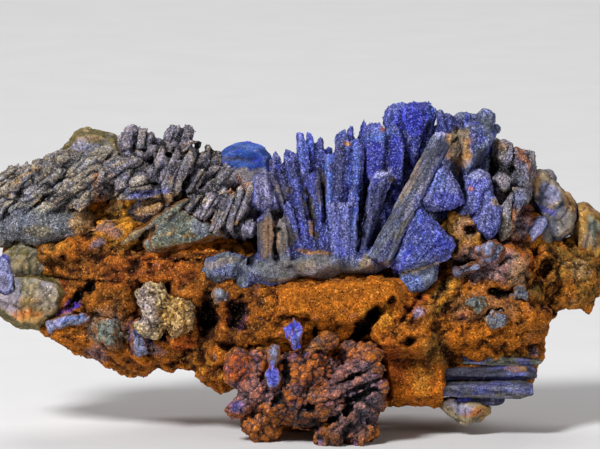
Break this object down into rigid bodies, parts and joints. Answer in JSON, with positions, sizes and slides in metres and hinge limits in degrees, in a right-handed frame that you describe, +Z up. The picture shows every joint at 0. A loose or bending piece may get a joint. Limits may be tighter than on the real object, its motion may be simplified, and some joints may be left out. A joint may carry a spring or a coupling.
{
  "type": "mineral specimen",
  "caption": "Azurite specimen: deep blue blades and finger crystals with pale crusts, grown on a rusty, pitted gossan matrix that stands on a flat cut foot.",
  "frame": {"origin": "middle of the bounding box, at the height of the flat cut foot", "axes": "+X to the right along the specimen's length as seen from the display side, +Y away from the viewer, +Z up"},
  "size_m": [0.1578, 0.0634, 0.0817],
  "materials": {
    "gossan": "rusty, porous iron-oxide matrix, ochre to dark brown",
    "azurite": "royal blue crystal with a fine sugary surface",
    "coated_azurite": "blue-violet crystal under a grey-brown speckled crust",
    "grey_crust": "matt grey-teal crust",
    "pale_crust": "pale cream, grey and lavender crust",
    "druse": "white to gold sugary grains"
  },
  "bodies": {
    "root": {"azurite_nodule": "coated_azurite", "azurite_nub_1": "azurite", "azurite_nub_2": "azurite", "azurite_nub_3": "grey_crust", "azurite_nub_4": "azurite", "azurite_nub_5": "azurite", "azurite_nub_6": "grey_crust", "azurite_nub_7": "grey_crust", "azurite_nub_8": "grey_crust", "azurite_nub_9": "grey_crust", "blue_back_crystal": "azurite", "cream_lump": "pale_crust", "crown_crystals": "azurite", "fan_crystals": "azurite", "finger_crystals": "coated_azurite", "foot_blade_1": "azurite", "foot_blade_2": "azurite", "foot_blade_3": "azurite", "foot_blade_4": "azurite", "gossan_matrix": "gossan", "granular_druse": "druse", "lavender_edge_crystal": "azurite", "lavender_tongue": "azurite", "log_crystal": "azurite", "low_shield_crystal": "azurite", "pale_back_lump": "pale_crust", "pale_left_lump": "pale_crust", "pale_right_lump": "pale_crust", "pale_right_slab": "pale_crust", "ridged_crust": "coated_azurite", "rimmed_crystal": "coated_azurite", "rod_crystal": "azurite", "shield_crystals": "azurite", "shoulder_crystals": "coated_azurite", "sliver_crystal": "azurite", "teal_crust": "grey_crust", "tongue_crystals": "azurite", "wedge_crystal": "azurite"}
  },
  "joints": []
}
